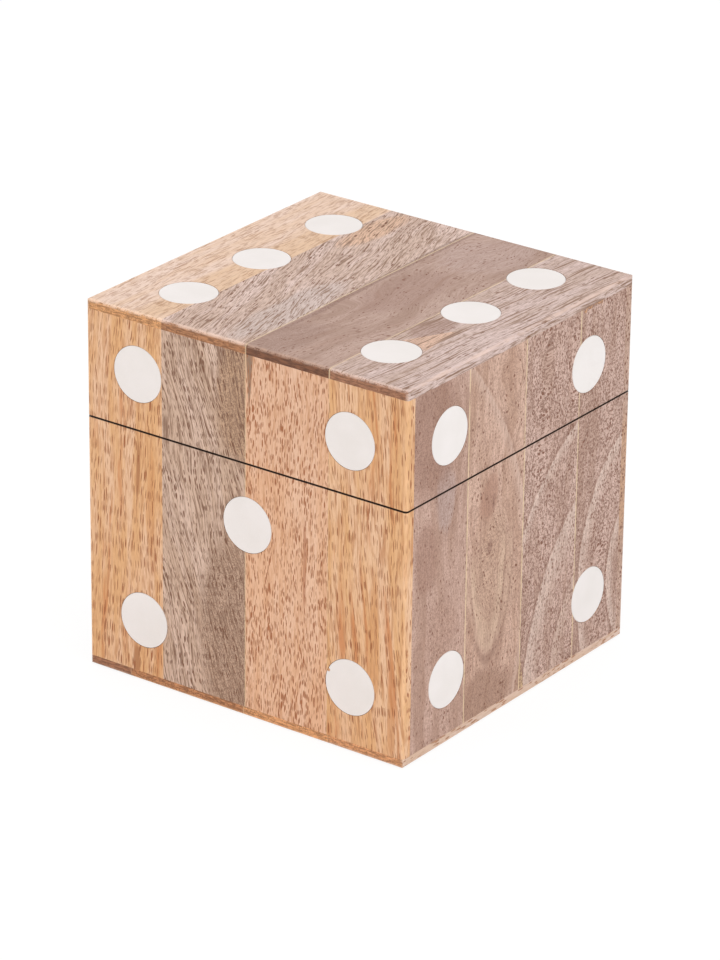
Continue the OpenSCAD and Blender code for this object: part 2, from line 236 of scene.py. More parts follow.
def strip_looks():
    """The look of every strip, by face and number."""
    looks = {}
    looks["front", 1] = {
        **GOLDEN, "tint": (1.02, 1.02, 1.03), "slant": -2.0, "pores": 0.5, "pore_size": (0.36, 5.2),
        "streaks": 0.85, "lines": 0.6,
        "patches": (((-42.4, 75.0), (0.7, 12.0), (166, 106, 62), 0.8, 0.0),
                    ((-37.0, 62.0), (1.6, 20.0), (214, 150, 90), 0.6, 0.0),
                    ((-44.3, 6.0), (1.2, 7.0), (166, 108, 66), 0.8, 0.0))}
    looks["front", 2] = {
        **GREY, "tint": (1.06, 1.05, 1.06), "slant": 15.0, "wave": 4.0, "curl_size": 0.55,
        "glue": (0.0, 0.45),
        "patches": (((-4.0, 28.0), (13.0, 32.0), (188, 154, 130), 0.8, 1.0),
                    ((-3.0, 112.0), (8.0, 24.0), (192, 152, 118), 0.8, 0.9))}
    looks["front", 3] = {
        **GOLDEN, "tint": (1.04, 1.05, 1.2), "bands": (0.97, 0.92, 0.86), "pore_size": (0.45, 3.2),
        "glue": (0.45, 0.25),
        "patches": (((24.1, 60.0), (0.8, 14.0), (176, 112, 78), 0.7, 0.0),
                    ((12.0, 110.0), (18.0, 22.0), (232, 190, 162), 0.45, 0.0)),
        "wedges": (((2.2, 106.0), (0.9, 3.8, 127.0), (136, 108, 88), 0.9),)}
    looks["front", 4] = {
        **GOLDEN, "tint": (1.03, 1.03, 1.03), "slant": 4.0, "pores": 0.5, "pore_size": (0.36, 5.2),
        "streaks": 0.85, "lines": 0.7, "line_size": (0.8, 16.0), "glue": (0.25, 0.0),
        "patches": (((52.0, 40.0), (2.0, 26.0), (212, 148, 86), 0.6, 0.0),
                    ((58.5, 14.0), (1.4, 14.0), (204, 136, 76), 0.6, 0.0))}
    looks["right", 1] = {
        **MAUVE, "tint": (0.91, 0.86, 0.86), "pores": 0.15, "curl": 0.5, "curl_size": 0.55,
        "glue": (0.0, 0.8),
        "patches": (((-42.0, 86.0), (5.0, 11.0), (190, 164, 156), 0.75, 0.0),
                    ((-50.0, 109.0), (14.0, 20.0), (164, 124, 106), 0.7, 0.3),
                    ((-52.0, 68.0), (6.0, 12.0), (172, 132, 114), 0.7, 0.2),
                    ((-44.0, 40.0), (9.0, 12.0), (190, 152, 134), 0.6, 0.2))}
    looks["right", 2] = {
        **MAUVE, "tint": (1.04, 0.99, 0.95), "pores": 0.2, "wave": 6.0, "curl": 0.5, "curl_size": 0.6,
        "patches": (((-14.0, 47.0), (11.0, 24.0), (206, 170, 146), 0.75, 0.2),
                    ((-17.0, 79.0), (5.0, 8.0), (178, 132, 110), 0.7, 0.0),
                    ((-13.0, 30.0), (5.0, 12.0), (172, 132, 112), 0.5, 0.0),
                    ((-14.5, 75.0), (0.8, 2.6), (146, 106, 90), 0.55, 0.5),
                    ((-16.5, 61.5), (1.2, 3.0), (146, 106, 90), 0.55, 0.5),
                    ((-17.0, 8.0), (14.0, 10.0), (168, 130, 108), 0.75, 0.3)),
        "rings": (((-17.5, 66.0), 4.4, 9.5, 4.0, 60.0, (218, 186, 160), 0.8),
                  ((-17.0, 74.0), 3.6, 14.0, 3.0, 62.0, (206, 172, 150), 0.6),
                  ((-114.5, 43.3), 1.0, 120.0, 5.0, 200.0, (212, 182, 166), 0.6))}
    looks["right", 3] = {
        **MAUVE, "tint": (1.02, 1.02, 1.07), "wave": 5.0, "curl": 1.0, "curl_size": 0.75,
        "rings": (((53.6, -9.3), 1.5, 68.3, 4.0, 200.0, (226, 200, 186), 0.85),
                  ((53.6, -9.3), 1.5, 50.4, 12.0, 200.0, (226, 200, 186), 0.9),
                  ((53.6, -9.3), 1.5, 35.0, 8.0, 200.0, (218, 190, 174), 0.7)),
        "wedges": (((1.4, 21.0), (1.2, 4.4, 3.0), (220, 186, 140), 0.8),)}
    looks["right", 4] = {
        **MAUVE, "tint": (1.0, 1.0, 1.05), "wave": 5.0, "curl": 1.0, "curl_size": 0.72, "glue": (0.8, 0.0),
        "patches": (((40.0, 126.2), (6.0, 0.9), (216, 160, 108), 0.9, 0.0),
                    ((60.5, 62.0), (1.6, 22.0), (206, 160, 122), 0.7, 0.0)),
        "rings": (((72.0, 24.0), 1.5, 36.5, 6.0, 200.0, (226, 200, 186), 0.9),
                  ((72.0, 24.0), 1.5, 19.8, 6.0, 200.0, (226, 200, 186), 0.9))}
    looks["top", 1] = {
        **PALE, "tint": (1.03, 1.04, 1.08), "slant": 1.5,
        "patches": (((-38.0, 0.0), (7.0, 80.0), (228, 190, 152), 0.6, 0.0),)}
    looks["top", 2] = {
        **GREY, "tint": (1.11, 1.16, 1.32), "slant": 17.0, "wave": 3.0, "pores": 0.25, "glue": (0.0, 0.5),
        "patches": (((-26.4, 43.7), (5.0, 17.0), (226, 184, 154), 0.85, 0.0),
                    ((-6.0, -30.0), (7.0, 30.0), (208, 190, 184), 0.7, 0.0),
                    ((0.3, 30.0), (0.9, 32.0), (120, 92, 84), 0.5, 0.6))}
    looks["top", 3] = {
        **MAUVE, "tint": (0.77, 0.76, 0.78), "wave": 8.0, "pores": 0.15, "curl": 0.2, "curl_size": 0.5,
        "lines": 0.3, "glue": (0.7, 0.7),
        "patches": (((17.0, 46.0), (14.0, 16.0), (192, 164, 154), 0.7, 0.0),
                    ((14.0, 5.0), (10.0, 22.0), (166, 132, 118), 0.6, 0.1),
                    ((6.0, -50.0), (10.0, 16.0), (168, 138, 126), 0.5, 0.4),
                    ((1.4, 10.0), (1.2, 60.0), (140, 108, 98), 0.5, 0.9))}
    looks["top", 4] = {
        **GREY, "tint": (1.02, 1.08, 1.28), "slant": -3.0, "pores": 0.1, "lines": 1.0,
        "line_size": (0.6, 25.0), "glue": (0.6, 0.0),
        "patches": (((39.0, -16.5), (5.5, 10.0), (180, 148, 138), 0.8, 0.3),),
        "wedges": (((46.7, -13.0), (37.0, 48.5, -31.0), (226, 186, 162), 0.95),)}
    looks["bottom", 1] = {**MAUVE, "glue": (0.0, 0.3)}
    looks["bottom", 2] = {**GOLDEN, "tint": (0.96, 0.94, 0.94), "slant": 3.0, "glue": (0.0, 0.3)}
    looks["bottom", 3] = {**GOLDEN, "tint": (1.0, 0.98, 1.0), "glue": (0.3, 0.3)}
    looks["bottom", 4] = {
        **PALE, "tint": (0.88, 0.88, 0.92), "slant": -4.0, "pores": 0.9, "pore_depth": 0.9}
    looks["back", 1] = {
        **GREY, "slant": -12.0, "wave": 4.0,
        "patches": (((-50.0, 70.0), (8.0, 30.0), (180, 146, 122), 0.8, 0.8),)}
    looks["back", 2] = {
        **GOLDEN, "tint": (1.0, 0.98, 1.03), "glue": (0.3, 0.3), "streaks": 0.4,
        "patches": (((-20.0, 46.0), (1.2, 20.0), (180, 118, 80), 0.6, 0.0),)}
    looks["back", 3] = {
        **GOLDEN, "tint": (0.98, 0.96, 0.96), "glue": (0.4, 0.4), "curl": 0.5,
        "rings": (((17.0, -10.0), 3.2, 13.0, 4.0, 200.0, (232, 194, 158), 0.7),
                  ((17.0, -10.0), 3.2, 24.0, 5.0, 200.0, (232, 194, 158), 0.6))}
    looks["back", 4] = {
        **MAUVE, "curl": 0.6, "glue": (0.4, 0.0),
        "patches": (((62.0, 58.0), (3.0, 22.0), (206, 160, 122), 0.7, 0.0),)}
    looks["left", 1] = {
        **MAUVE, "tint": (1.02, 1.0, 0.98), "curl": 0.5, "glue": (0.0, 0.5),
        "rings": (((-70.0, 30.0), 1.6, 26.0, 6.0, 200.0, (210, 180, 166), 0.6),)}
    looks["left", 2] = {**GREY, "slant": 10.0, "wave": 4.0, "glue": (0.3, 0.3)}
    looks["left", 3] = {
        **MAUVE, "wave": 6.0, "curl": 0.7, "glue": (0.6, 0.6),
        "rings": (((40.0, 10.0), 1.6, 30.0, 6.0, 200.0, (210, 180, 166), 0.65),
                  ((40.0, 10.0), 1.6, 46.0, 4.0, 200.0, (210, 180, 166), 0.55))}
    looks["left", 4] = {**GOLDEN, "tint": (0.98, 0.97, 1.0), "glue": (0.4, 0.0)}
    # The cut ends of these strips show as thin lines over and under the walls
    ends = {"top": ((206, 150, 100), (168, 116, 78), (118, 74, 48), (154, 106, 78)),
            "bottom": ((154, 104, 74), (184, 126, 84), (218, 158, 108), (212, 152, 106))}
    for face, tones in ends.items():
        for number, tone in enumerate(tones, start=1):
            looks[face, number]["end"] = tone
    return looks


def edge_wear_and_highlight(wood, place):
    """1 along the outer edges of the box, fading to 0 about a millimetre away, for rubbed wear and a painted
    highlight.
    """
    gaps = []
    for number, low, high in zip(place, LOW_CORNER, HIGH_CORNER):
        gaps.append((high - low) / 2 - (number - (low + high) / 2).size())
    first, second, third = gaps
    # At an edge two of the three gaps to the box's sides are small, so the middle one tells
    lesser = first.smallest(second)
    greater = first.largest(second)
    return wood.ramp(lesser.largest(greater.smallest(third)), 1.3, 0.4)


class Grain:
    """Where a point of a strip lies in millimetres, and the patterns that its wood's marks share."""

    def __init__(self, wood, place, face, number, look):
        self.wood = wood
        self.across, self.along, self.through = [place[i] for i in ACROSS_ALONG_THROUGH[face]]
        self.seed = 37.0 * number + 11.0 * list(ACROSS_ALONG_THROUGH).index(face)
        turn = math.radians(look["slant"])
        straight = self.across * math.cos(turn) + self.along * math.sin(turn)
        self.run = self.along * math.cos(turn) - self.across * math.sin(turn)
        slow = wood.vector(straight * 0.04 + self.seed, self.run * 0.018, self.through * 0.04)
        self.drift = wood.noise(slow, 2.0) - 0.5
        self.side = straight + self.drift * (4 * look["wave"])
        self.wander = (self.streaks(12.0, 45.0) - 0.5) * 16
        self.lines = self.streaks(*look["line_size"], 2.0, 90.0)
        self.fibre = self.streaks(0.35, 3.5, 2.0)
        self.crowd = self.streaks(5.0, 12.0, 2.0, 20.0) - 0.5
        self.ragged = (self.lines - 0.5) * 0.5 + (self.fibre - 0.5) * 0.4
        self.nowhere = self.drift * 0.0

    def streaks(self, width, length, detail=3.0, offset=0.0):
        """Random values drawn out along the grain, of about this width and length."""
        drawn = self.wood.vector(self.side / width + self.seed + offset, self.run / length,
                                 self.through / width)
        return self.wood.noise(drawn, detail, 0.6)


def add_patches(grain, colour, patches):
    """Areas of another tone with ragged sides. Gives the colour and how speckled each place is."""
    speckled = grain.nowhere
    for (middle_across, middle_along), (half_width, half_length), tone, strength, speckle in patches:
        off_side = (grain.across + grain.drift * 6 - middle_across) / half_width
        off_run = (grain.along + grain.wander - middle_along) / half_length
        away = (off_side * off_side + off_run * off_run).root() + grain.ragged
        inside = grain.wood.ramp(away, 1.2, 0.75)
        colour = grain.wood.blend(inside * strength, colour, linear(*tone))
        speckled = speckled.largest(inside * speckle)
    return colour, speckled


def add_rings(grain, colour, dark, rings):
    """Growth rings: pale arcs that fade inwards, with a dark line outside. Gives the colour and the arcs."""
    wood = grain.wood
    ringed = grain.nowhere
    for (middle_across, middle_along), stretch, radius, fade, top, tone, strength in rings:
        off_side = grain.across + grain.drift * 5 - middle_across
        off_run = (grain.along - middle_along) / stretch
        beyond = (off_side * off_side + off_run * off_run).root() - radius + grain.ragged * 0.8
        shown = wood.ramp(grain.along + grain.wander, top + 6, top - 6)
        ring = wood.ramp(beyond, 0.35, -0.35) * wood.ramp(beyond, -fade, 0.0) * shown
        edge = wood.ramp((beyond - 0.7).size(), 0.7, 0.1) * shown
        colour = wood.blend(edge * strength * 0.5, colour, dark)
        colour = wood.blend(ring * strength, colour, linear(*tone))
        ringed = ringed.largest(ring)
    return colour, ringed


def add_wedges(grain, colour, wedges):
    """Long triangles of another tone, where the saw met a layer of the tree at a slant."""
    wood = grain.wood
    for (tip_across, tip_along), (left, right, end), tone, strength in wedges:
        opened = (grain.along - tip_along) / (end - tip_along)
        left_side = opened * (left - tip_across) + tip_across
        right_side = opened * (right - tip_across) + tip_across
        past_left = grain.across - left_side + grain.drift * 2
        past_right = right_side - grain.across - grain.drift * 2
        inside = wood.ramp(past_left, -0.15, 0.25) * wood.ramp(past_right, -0.15, 0.25)
        inside = inside * wood.ramp(opened, 0.0, 0.02) * wood.ramp(opened, 1.15, 1.0)
        colour = wood.blend(inside * strength, colour, linear(*tone))
    return colour


def add_curls(grain, colour, tone, size, amount):
    """Fine curly figure."""
    wood = grain.wood
    curls = wood.number("ShaderNodeTexNoise", {"noise_dimensions": "3D"}, {
        "Vector": wood.vector(grain.side + grain.run * 0.55 + grain.seed,
                              grain.run * 0.75 - grain.side * 0.75, grain.through),
        "Scale": 1.0 / size, "Detail": 1.0, "Distortion": 0.9})
    return wood.blend(wood.ramp(curls, 0.5, 0.57) * amount, colour, tone)


def pore_slits(grain, size, share):
    """1 in the short slits that the pores leave on the surface, of this size, else 0."""
    wood = grain.wood
    width, length = size
    cell = wood.node("ShaderNodeTexVoronoi", {"feature": "F1"}, {
        "Vector": wood.vector(grain.side / width + grain.seed, grain.run / length,
                              grain.through / (2 * width)),
        "Scale": 1.0, "Randomness": 1.0})
    luck = wood.node("ShaderNodeSeparateColor", values=[cell.outputs["Color"]]).outputs
    reach = 0.27 + Value(wood, luck[0]) * 0.16 + grain.crowd * 0.6
    hit = wood.ramp(reach - Value(wood, cell.outputs["Distance"]), -0.06, 0.08)
    return hit * wood.ramp(Value(wood, luck[1]), 0.95 - share, 1.05 - share)


def add_end_grain(grain, face, colour, tone, pores):
    """The layers seen on the cut ends of the strip, where the surface faces along the grain."""
    wood = grain.wood
    facing = wood.node("ShaderNodeSeparateXYZ", values=[wood.node("ShaderNodeTexCoord").outputs["Normal"]])
    end_on = Value(wood, facing.outputs[ACROSS_ALONG_THROUGH[face][1]]).size()
    layers = wood.noise(
        wood.vector(grain.side * 0.35 + grain.seed, grain.through * 1.8, grain.run * 0.1), 4.0, 0.65)
    darker = tint(tone, (0.62, 0.58, 0.55))
    paler = tint(tone, (1.3, 1.3, 1.3))
    end = wood.blend(wood.ramp(layers, 0.36, 0.64), darker, paler)
    end = wood.blend(pores * 0.6, end, tint(tone, (0.5, 0.45, 0.4)))
    return wood.blend(wood.ramp(end_on, 0.6, 0.8), colour, end)


def add_glue(grain, colour, glue, edges, strengths):
    """A broken pale line along each glued side of the strip."""
    wood = grain.wood
    for edge, strength in zip(edges, strengths):
        if strength:
            slow = wood.vector(grain.along * 0.12 + grain.seed + edge, grain.across * 0.1, 0.0)
            broken = wood.noise(slow, 3.0)
            line = wood.ramp((grain.across - edge).size(), 0.34, 0.14) * wood.ramp(broken, 0.3, 0.5)
            colour = wood.blend(line * strength, colour, glue)
    return colour


def wood_material(name, face, number, look, edges):
    """Wood of one strip. Its grain runs along the strip, and edges are the places of its two glued sides."""
    colours = bpy.context.scene.dice_box_colours
    light = tint(getattr(colours, look["kind"]), look["tint"])
    dark = tuple(getattr(colours, look["kind"] + "_grain"))
    wood = Recipe(bpy.data.materials.new(name))
    place = wood.point()
    grain = Grain(wood, place, face, number, look)

    darker = tint(light, look["bands"])
    paler = tint(light, [(3.0 - b) / 2.0 for b in look["bands"]])
    colour = wood.blend(wood.ramp(grain.streaks(5.5, 60.0, 3.0, 130.0), 0.38, 0.62), darker, paler)
    colour, speckled = add_patches(grain, colour, look["patches"])
    colour, ringed = add_rings(grain, colour, dark, look["rings"])
    colour = add_wedges(grain, colour, look["wedges"])

    warm_streaks = wood.ramp(grain.streaks(3.2, 50.0, 4.0, 50.0), 0.55, 0.7)
    colour = wood.blend(warm_streaks * look["streaks"], colour, tint(dark, (1.2, 1.06, 0.88)))
    colour = wood.blend(wood.ramp(grain.lines, 0.5, 0.66) * look["lines"], colour, dark)
    colour = wood.blend(wood.ramp(grain.fibre, 0.42, 0.7) * look["fibres"], colour, dark)
    curled = (speckled * 0.75 + look["curl"] * 0.8) * (1 - ringed * 0.7)
    colour = add_curls(grain, colour, tint(dark, (0.84, 0.8, 0.78)), look["curl_size"], curled)
    pores = pore_slits(grain, look["pore_size"], look["pores"])
    colour = wood.blend(pores * look["pore_depth"], colour, tint(dark, (0.74, 0.56, 0.46)))

    colour = add_end_grain(grain, face, colour, linear(*look["end"]), pores)
    # Lighter edges: partly real rubbing wear, partly a painted highlight where the edges catch the light
    worn_and_lit = edge_wear_and_highlight(wood, place) * wood.ramp(grain.fibre + grain.crowd, 0.3, 0.6)
    colour = wood.blend(worn_and_lit * 0.7, colour, tint(light, (1.2, 1.17, 1.1)))
    colour = add_glue(grain, colour, colours.glue, edges, look["glue"])
    if face in WALLS:
        # Painted shade: a dark band along the cut between base and lid stands in for the shadow in the gap
        # there, with a slightly darkened cut edge
        painted_cut_shade = wood.ramp((grain.along - CUT_HEIGHT).size() + grain.ragged * 0.1, 0.42, 0.3)
        colour = wood.blend(painted_cut_shade * 0.92, colour, linear(48, 32, 24))

    roughness = 0.52 + (grain.lines - 0.5) * 0.15 + pores * 0.15
    height = grain.fibre * 0.25 + grain.lines * 0.3 - pores * 0.9
    return wood.finish(colour, roughness, height, 0.1 * MM)


def inlay_material():
    """Ivory-coloured discs, sanded flush with the wood."""
    bone = Recipe(bpy.data.materials.new("inlay_ivory"))
    x, y, z = bone.point()
    cloud = bone.noise(bone.vector(x * 0.08, y * 0.08, z * 0.08), 3.0)
    sanding = bone.noise(bone.vector(x * 1.5 + y * 0.4, y * 1.5, z * 0.6), 3.0, 0.6)
    ivory = bpy.context.scene.dice_box_colours.ivory
    darker = tint(ivory, (0.98, 0.98, 0.97))
    paler = tint(ivory, (1.02, 1.02, 1.02))
    colour = bone.blend(bone.ramp(cloud, 0.3, 0.7), darker, paler)
    # One disc on the front has a chip in its rim, which shows the wood
    chip_x, chip_z = 34.1, 26.4
    off_x = x - chip_x
    off_z = z - chip_z
    from_chip = (off_x * off_x + off_z * off_z).root() + (sanding - 0.5) * 0.6
    chipped = bone.ramp(from_chip, 0.75, 0.4) * bone.ramp(y, 0.0, -1.0)
    colour = bone.blend(chipped, colour, linear(206, 150, 108))
    return bone.finish(colour, 0.42 + (sanding - 0.5) * 0.12, sanding, 0.03 * MM)


def board_material(along):
    """Stained board inside the box, with its grain along the axis of this number."""
    board = Recipe(bpy.data.materials.new("stained_board_" + "xyz"[along]))
    place = board.point()
    stretched = [place[i] * (0.03 if i == along else 1.0) for i in range(3)]
    stain = bpy.context.scene.dice_box_colours.board
    figure = board.noise(board.vector(*[s * 0.16 for s in stretched]), 4.0, 0.55)
    lines = board.noise(board.vector(*[s * 1.1 for s in stretched]), 3.0, 0.6)
    fibre = board.noise(board.vector(*[s * 3.2 for s in stretched]), 2.0)
    colour = board.blend(board.ramp(figure, 0.36, 0.62), tint(stain, [1.2] * 3), tint(stain, [0.72] * 3))
    colour = board.blend(board.ramp(lines, 0.5, 0.68) * 0.6, colour, tint(stain, [0.45] * 3))
    colour = board.blend(board.ramp(fibre, 0.45, 0.75) * 0.35, colour, tint(stain, [0.5] * 3))
    return board.finish(colour, 0.5 + (fibre - 0.5) * 0.25, lines * 0.4 + fibre * 0.3, 0.08 * MM)


def brass_material():
    """Brass of the hinges, a little dulled."""
    brass = Recipe(bpy.data.materials.new("hinge_brass"))
    x, y, z = brass.point()
    haze = brass.noise(brass.vector(x * 0.5, y * 0.5, z * 0.5), 3.0)
    rub = brass.noise(brass.vector(x * 0.4, y * 6.0, z * 6.0), 2.0)
    clean = bpy.context.scene.dice_box_colours.brass
    colour = brass.blend(brass.ramp(haze, 0.35, 0.7), clean, tint(clean, (0.72, 0.68, 0.6)))
    return brass.finish(colour, 0.3 + haze * 0.2, rub, 0.02 * MM, metallic=1.0)


def separate_pieces(node):
    """The lowest and highest corners of each separate piece of a CAD node, in metres."""
    mesh = bmesh.new()
    mesh.from_mesh(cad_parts[node].data)
    bmesh.ops.remove_doubles(mesh, verts=mesh.verts, dist=0.01 * MM)
    left = set(mesh.verts)
    boxes = []
    while left:
        reached = [left.pop()]
        for vert in reached:
            near = {edge.other_vert(vert) for edge in vert.link_edges} & left
            left -= near
            reached.extend(near)
        places = [vert.co for vert in reached]
        low = Vector([min(p[i] for p in places) for i in range(3)])
        boxes.append((low, Vector([max(p[i] for p in places) for i in range(3)])))
    mesh.free()
    return sorted(boxes, key=lambda box: tuple(box[0]))


class Tree:
    """A Geometry Nodes tree whose inputs are named sizes in metres."""

    def __init__(self, name, sizes):
        self.group = bpy.data.node_groups.new(name, "GeometryNodeTree")
        self.nodes = self.group.nodes
        self.links = self.group.links
        sockets = self.group.interface
        sockets.new_socket(name="Geometry", in_out="INPUT", socket_type="NodeSocketGeometry")
        self.identifiers = {}
        for size in sizes:
            socket = sockets.new_socket(name=size, in_out="INPUT", socket_type="NodeSocketFloat")
            self.identifiers[size] = socket.identifier
        sockets.new_socket(name="Geometry", in_out="OUTPUT", socket_type="NodeSocketGeometry")
        self.given = self.nodes.new("NodeGroupInput").outputs

    def node(self, kind, settings=None, values=None):
        """A node with its settings made first, then the values or links of its sockets."""
        made = self.nodes.new(kind)
        for key, setting in (settings or {}).items():
            setattr(made, key, setting)
        for key, value in (values or {}).items():
            several = value if isinstance(value, list) else [value]
            for single in several:
                if isinstance(single, bpy.types.NodeSocket):
                    self.links.new(single, made.inputs[key])
                else:
                    made.inputs[key].default_value = single
        return made.outputs[0]

    def math(self, operation, first, second):
        return self.node("ShaderNodeMath", {"operation": operation}, {0: first, 1: second})

    def moved(self, shape, height):
        """The shape lifted along its own axis."""
        lift = self.node("ShaderNodeCombineXYZ", values={"Z": height})
        return self.node("GeometryNodeTransform", values={"Geometry": shape, "Translation": lift})

    def ring(self, top_radius, bottom_radius, low, high, sides):
        """The open side of a round piece between two heights, which may narrow."""
        cone = self.node("GeometryNodeMeshCone", {"fill_type": "NONE"}, {
            "Vertices": sides, "Radius Top": top_radius, "Radius Bottom": bottom_radius,
            "Depth": self.math("SUBTRACT", high, low)})
        return self.moved(cone, low)

    def cap(self, radius, height, sides, downwards=False):
        """A flat round end."""
        disc = self.node("GeometryNodeMeshCircle", {"fill_type": "NGON"},
                         {"Vertices": sides, "Radius": radius})
        if not downwards:
            return self.moved(disc, height)
        return self.moved(self.node("GeometryNodeFlipFaces", values={"Mesh": disc}), height)

    def repeat(self, pieces, material):
        """Joins the pieces into one solid and puts it on every point, facing the way the point says."""
        joined = self.node("GeometryNodeJoinGeometry", values={"Geometry": pieces})
        solid = self.node("GeometryNodeMergeByDistance", values={"Geometry": joined, "Distance": SAME_PLACE})
        facing = self.node("GeometryNodeInputNamedAttribute", {"data_type": "FLOAT_VECTOR"},
                           {"Name": "facing"})
        turn = self.node("FunctionNodeAlignRotationToVector", {"axis": "Z"}, {"Vector": facing})
        placed = self.node("GeometryNodeInstanceOnPoints", values={
            "Points": self.given["Geometry"], "Instance": solid, "Rotation": turn})
        real = self.node("GeometryNodeRealizeInstances", values={"Geometry": placed})
        finished = self.node("GeometryNodeSetMaterial", values={"Geometry": real, "Material": material})
        end = self.nodes.new("NodeGroupOutput")
        self.links.new(finished, end.inputs["Geometry"])


def repeat_on(name, tree, places, sizes, body, nodes):
    """Puts the tree's shape on each place, as one plain mesh that stands for the CAD nodes."""
    mesh = bpy.data.meshes.new(name)
    mesh.from_pydata([place for place, facing in places], [], [])
    directions = mesh.attributes.new("facing", "FLOAT_VECTOR", "POINT")
    for item, (place, facing) in zip(directions.data, places):
        item.vector = facing
    piece = bpy.data.objects.new(name, mesh)
    bpy.context.scene.collection.objects.link(piece)
    modifier = piece.modifiers.new(name, "NODES")
    modifier.node_group = tree.group
    for size, value in sizes.items():
        modifier[tree.identifiers[size]] = value
    seen = piece.evaluated_get(bpy.context.evaluated_depsgraph_get())
    plain = bpy.data.meshes.new_from_object(seen)
    piece.modifiers.remove(modifier)
    piece.data = plain
    if not plain.polygons:
        raise RuntimeError("%s has no faces" % name)
    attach(piece, body)
    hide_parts(*nodes)
    return piece


def disc_tree(material, sides):
    """A flat disc whose seen edge is eased. Its face is at the point, and it goes in behind it."""
    tree = Tree("inlaid_disc", ("Radius", "Thickness", "Easing"))
    radius, thickness, easing = [tree.given[n] for n in ("Radius", "Thickness", "Easing")]
    back = tree.math("MULTIPLY", thickness, -1.0)
    shoulder = tree.math("MULTIPLY", easing, -1.0)
    half_way = tree.math("MULTIPLY", easing, -0.3)
    eased = tree.math("SUBTRACT", radius, easing)
    middle = tree.math("SUBTRACT", radius, tree.math("MULTIPLY", easing, 0.3))
    tree.repeat([
        tree.cap(eased, 0.0, sides),
        tree.ring(eased, middle, half_way, 0.0, sides),
        tree.ring(middle, radius, shoulder, half_way, sides),
        tree.ring(radius, radius, back, shoulder, sides),
        tree.cap(radius, back, sides, downwards=True),
    ], material)
    return tree


def screw_tree(material, sides):
    """A countersunk screw with a slot. The top of its head is at the point, and it goes in behind it."""
    tree = Tree("hinge_screw", ("Head radius", "Shank radius", "Length", "Slot width"))
    head = tree.given["Head radius"]
    shank = tree.given["Shank radius"]
    length = tree.given["Length"]
    slot = tree.given["Slot width"]
    rim = tree.math("MULTIPLY", slot, -0.25)
    cone_end = tree.math("ADD", tree.math("SUBTRACT", shank, head), rim)
    back = tree.math("MULTIPLY", length, -1.0)
    point = tree.math("ADD", back, tree.math("MULTIPLY", shank, 1.6))
    tip = tree.math("MULTIPLY", shank, 0.25)
    parts = tree.node("GeometryNodeJoinGeometry", values={"Geometry": [
        tree.cap(head, 0.0, sides),
        tree.ring(head, head, rim, 0.0, sides),
        tree.ring(head, shank, cone_end, rim, sides),
        tree.ring(shank, shank, point, cone_end, sides),
        tree.ring(shank, tip, back, point, sides),
        tree.cap(tip, back, sides, downwards=True),
    ]})
    solid = tree.node("GeometryNodeMergeByDistance", values={"Geometry": parts, "Distance": SAME_PLACE})
    size = tree.node("ShaderNodeCombineXYZ", values={
        "X": tree.math("MULTIPLY", head, 3.0), "Y": slot, "Z": tree.math("MULTIPLY", slot, 1.6)})
    cutter = tree.node("GeometryNodeMeshCube", values={"Size": size})
    cut = tree.node("GeometryNodeMeshBoolean", {"operation": "DIFFERENCE"},
                    {"Mesh 1": solid, "Mesh 2": cutter})
    tree.repeat([cut], material)
    return tree


def dress(node, material):
    """Puts one material on a CAD node in place of its plain one."""
    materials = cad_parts[node].data.materials
    materials.clear()
    materials.append(material)


def colour_property(name, description, *seen):
    return FloatVectorProperty(name=name, description=description, default=linear(*seen),
                               subtype="COLOR", min=0.0, max=1.0)


class DiceBoxColours(bpy.types.PropertyGroup):
    """Colours of the woods, inlay and metal."""

    golden: colour_property("Golden wood", "Ground colour of the golden strips", 232, 187, 146)
    golden_grain: colour_property("Golden grain", "Pores and lines in the golden strips", 190, 128, 82)
    grey: colour_property("Grey wood", "Ground colour of the grey-brown strips", 214, 184, 163)
    grey_grain: colour_property("Grey grain", "Pores and lines in the grey-brown strips", 140, 106, 84)
    mauve: colour_property("Mauve wood", "Ground colour of the mauve-brown strips", 208, 175, 157)
    mauve_grain: colour_property("Mauve grain", "Pores and lines in the mauve-brown strips", 144, 106, 88)
    pale: colour_property("Pale wood", "Ground colour of the pale strip on the top", 236, 206, 184)
    pale_grain: colour_property("Pale grain", "Pores and lines in the pale strip", 200, 162, 132)
    glue: colour_property("Glue", "Colour of the glue lines between strips", 232, 206, 166)
    ivory: colour_property("Inlay", "Colour of the discs", 238, 231, 228)
    board: colour_property("Board", "Stain of the boards inside", 122, 88, 64)
    brass: colour_property("Brass", "Colour of the hinges", 200, 162, 92)


class DiceBoxSizes(bpy.types.PropertyGroup):
    """Sizes of the small pieces."""

    disc_easing: FloatProperty(name="Disc easing", description="How far a disc's seen edge is rounded off",
                               default=0.15 * MM, min=0.0, unit="LENGTH", precision=5)
    screw_shank: FloatProperty(name="Screw shank", description="Diameter of a hinge screw below its head",
                               default=2.0 * MM, min=0.0, unit="LENGTH", precision=5)
    screw_slot: FloatProperty(name="Screw slot", description="Width of the slot in a screw's head",
                              default=0.5 * MM, min=0.0, unit="LENGTH", precision=5)


class DiceBoxLight(bpy.types.PropertyGroup):
    """How the box is lit and seen."""

    sky: FloatProperty(name="Sky", description="Strength of the even light from all round", default=0.56,
                       min=0.0)
    overhead: FloatProperty(name="Overhead lamp", description="Power of the broad lamp above", default=7.2,
                            min=0.0, unit="POWER")
    left: FloatProperty(name="Front left lamp", description="Power of the warm lamp", default=5.2, min=0.0,
                        unit="POWER")
    right: FloatProperty(name="Right lamp", description="Power of the cool lamp", default=5.8, min=0.0,
                         unit="POWER")


